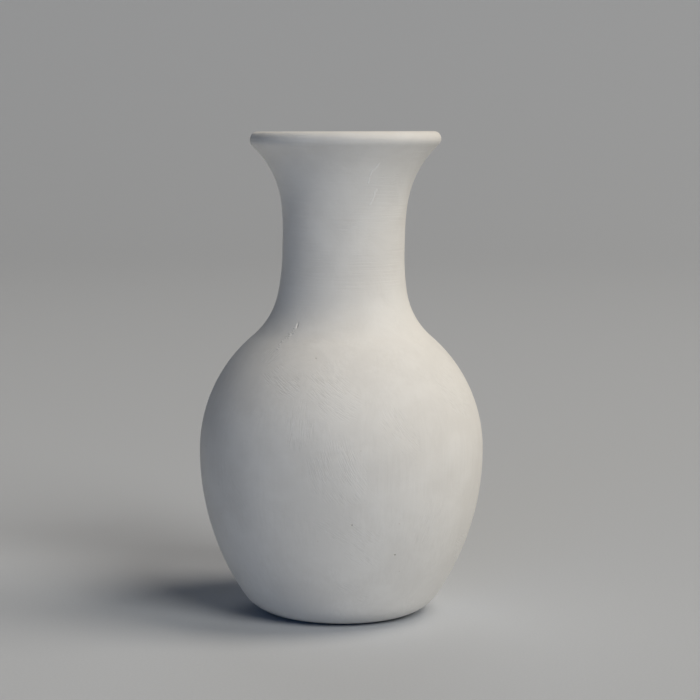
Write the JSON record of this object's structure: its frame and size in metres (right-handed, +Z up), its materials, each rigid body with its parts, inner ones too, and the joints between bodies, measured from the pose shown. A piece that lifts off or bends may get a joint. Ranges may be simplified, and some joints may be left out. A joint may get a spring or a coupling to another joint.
{
  "type": "ceramic vase",
  "caption": "Baluster vase with rounded belly, slender neck, flared mouth and thick rounded lip; matte off-white outside, glazed inside.",
  "frame": {"origin": "middle of the foot, on the plane that the vase stands on", "axes": "+Z up along the vase's axis, towards the mouth; X and Y are equivalent, and the side towards -Y is the side that faces the viewer"},
  "size_m": [0.0886, 0.0886, 0.15],
  "materials": {
    "fired_clay": "bare fired clay, fine sandy grain",
    "matte_coat": "matte off-white coat, brushed and lightly rubbed down",
    "liner_glaze": "thin satin glaze"
  },
  "bodies": {
    "root": {"clay_body": "fired_clay", "matte_coat": "matte_coat", "liner_glaze": "liner_glaze"}
  },
  "joints": []
}
